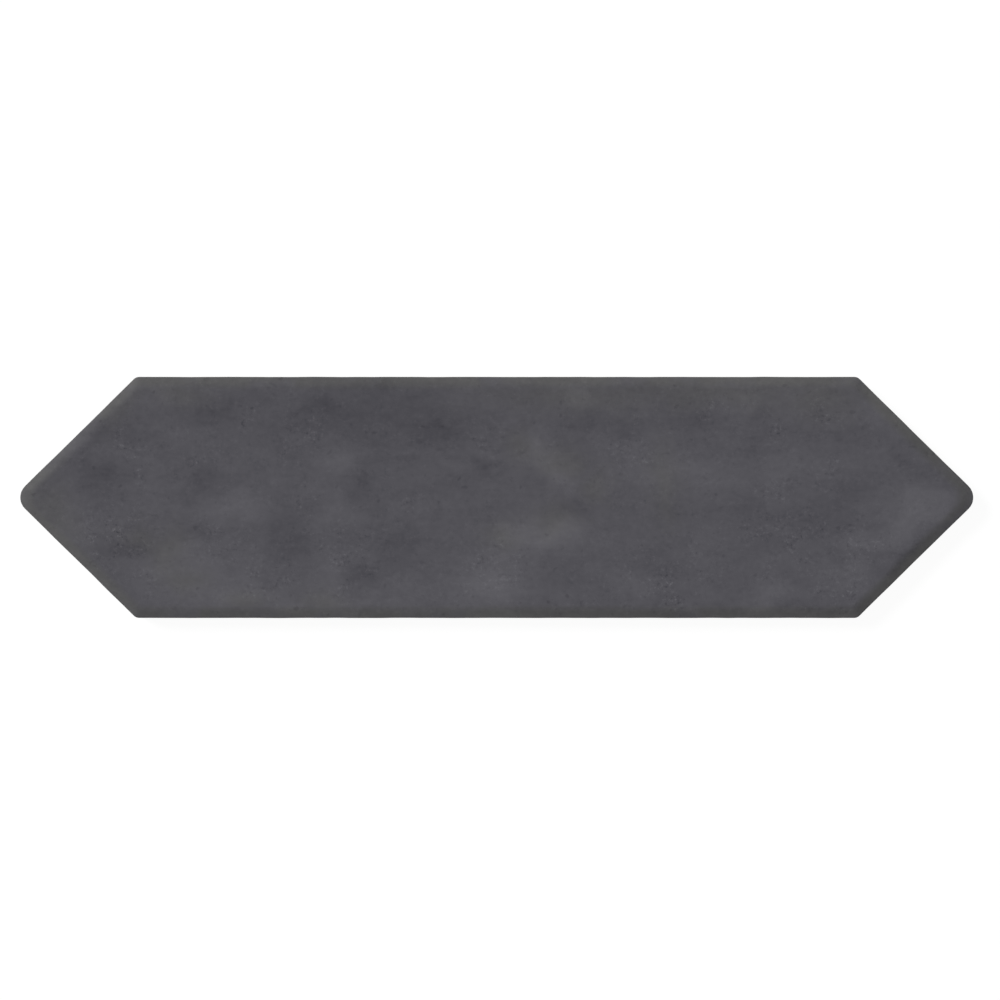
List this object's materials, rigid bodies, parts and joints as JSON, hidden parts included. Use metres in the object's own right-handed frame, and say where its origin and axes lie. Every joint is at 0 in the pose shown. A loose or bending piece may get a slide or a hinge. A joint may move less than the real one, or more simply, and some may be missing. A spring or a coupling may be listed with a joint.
{
  "type": "picket tile",
  "caption": "Long flat ceramic tile with pointed ends, softly rounded face edges and a ribbed back, bedded in rows as a wall or floor covering.",
  "frame": {"origin": "middle of the back, level with the ribs and the border that the tile lies on", "axes": "+X along the tile towards one point, +Y across it, +Z out of the glazed face"},
  "size_m": [0.2962, 0.075, 0.008],
  "materials": {
    "matte_glaze": "matte"
  },
  "bodies": {
    "root": {"picket_tile": "matte_glaze"}
  },
  "joints": []
}
